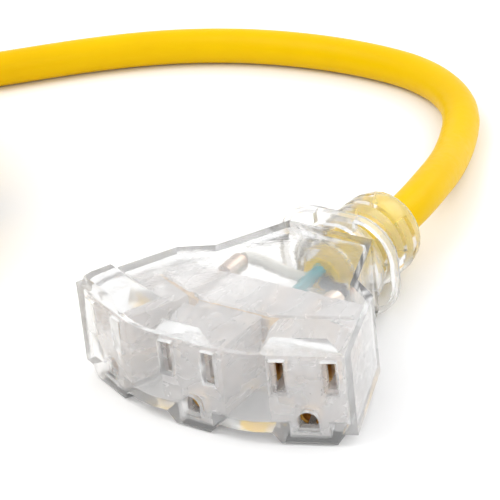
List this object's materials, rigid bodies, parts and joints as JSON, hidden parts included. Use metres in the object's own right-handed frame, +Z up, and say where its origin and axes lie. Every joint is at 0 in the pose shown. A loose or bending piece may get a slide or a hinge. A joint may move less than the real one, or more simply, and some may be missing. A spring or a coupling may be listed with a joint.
{
  "type": "extension cord",
  "caption": "Heavy-duty grounded extension cord with a clear fan-shaped triple-outlet connector, yellow round cord, coil and clear plug.",
  "frame": {"origin": "under the middle of the connector, on the floor that its feet rest on", "axes": "+Y from the outlets towards the cord, +Z up, +X towards the right-hand outlet"},
  "size_m": [0.3174, 0.2645, 0.0749],
  "materials": {
    "clear": "clear moulded PVC, slightly frosted",
    "insert": "frosted moulded polycarbonate",
    "jacket": "satin extruded PVC",
    "brass": "stamped",
    "copper": "bare stranded copper",
    "tinned": "tinned copper",
    "green": "satin insulation",
    "white": "satin insulation",
    "black": "satin insulation",
    "strap": "woven hook-and-loop strap"
  },
  "bodies": {
    "root": {"outer_shell": "clear", "strain_relief": "clear", "neck_loop": "clear", "bus_carrier": "insert", "insert_left": "insert", "neutral_contact_left": "brass", "hot_contact_left": "brass", "ground_contact_left": "brass", "insert_middle": "insert", "neutral_contact_middle": "brass", "hot_contact_middle": "brass", "ground_contact_middle": "brass", "insert_right": "insert", "neutral_contact_right": "brass", "hot_contact_right": "brass", "ground_contact_right": "brass", "neutral_bus": "brass", "neutral_crimp": "tinned", "neutral_strands": "copper", "neutral_wire": "white", "ground_bus": "brass", "ground_crimp": "tinned", "ground_strands": "copper", "ground_wire": "green", "hot_bus": "brass", "hot_crimp": "tinned", "hot_strands": "copper", "hot_wire": "black", "jacket_end": "jacket", "cord_run": "jacket", "cord_coil": "jacket", "cord_tail": "jacket", "coil_tie": "strap", "plug_body": "clear", "plug_bridge": "insert", "plug_relief": "clear", "plug_neutral_blade": "brass", "plug_hot_blade": "brass", "plug_ground_pin": "brass", "plug_neutral_wire": "white", "plug_hot_wire": "black", "plug_ground_wire": "green", "plug_jacket_end": "jacket"}
  },
  "joints": []
}
